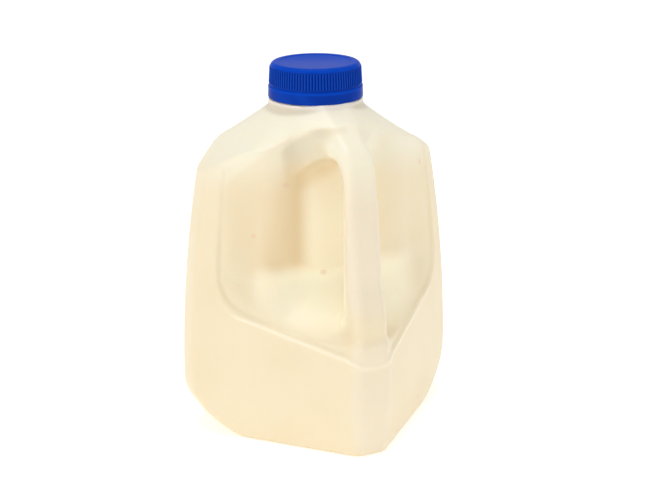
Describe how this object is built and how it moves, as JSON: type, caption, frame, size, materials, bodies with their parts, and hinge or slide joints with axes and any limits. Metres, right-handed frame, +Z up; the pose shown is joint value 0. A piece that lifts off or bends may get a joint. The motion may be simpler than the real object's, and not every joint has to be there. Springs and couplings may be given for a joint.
{
  "type": "whipped topping jug",
  "caption": "Square blow-moulded jug of liquid whipped topping, with a hollow corner handle over a finger hole and a ribbed screw cap with a tamper band.",
  "frame": {"origin": "centre of the base, on the surface it stands on", "axes": "+Z up through the cap; the flat walls face +X, -X, +Y and -Y, and the handle stands on the +X -Y corner"},
  "size_m": [0.0976, 0.0976, 0.1623],
  "materials": {
    "jug_wall": "milky translucent natural polyethylene, satin, tinted by the cream inside",
    "liquid_topping": "smooth opaque cream",
    "cap_plastic": "satin blue polypropylene"
  },
  "bodies": {
    "root": {"jug": "jug_wall", "topping": "liquid_topping", "cap": "cap_plastic"}
  },
  "joints": []
}
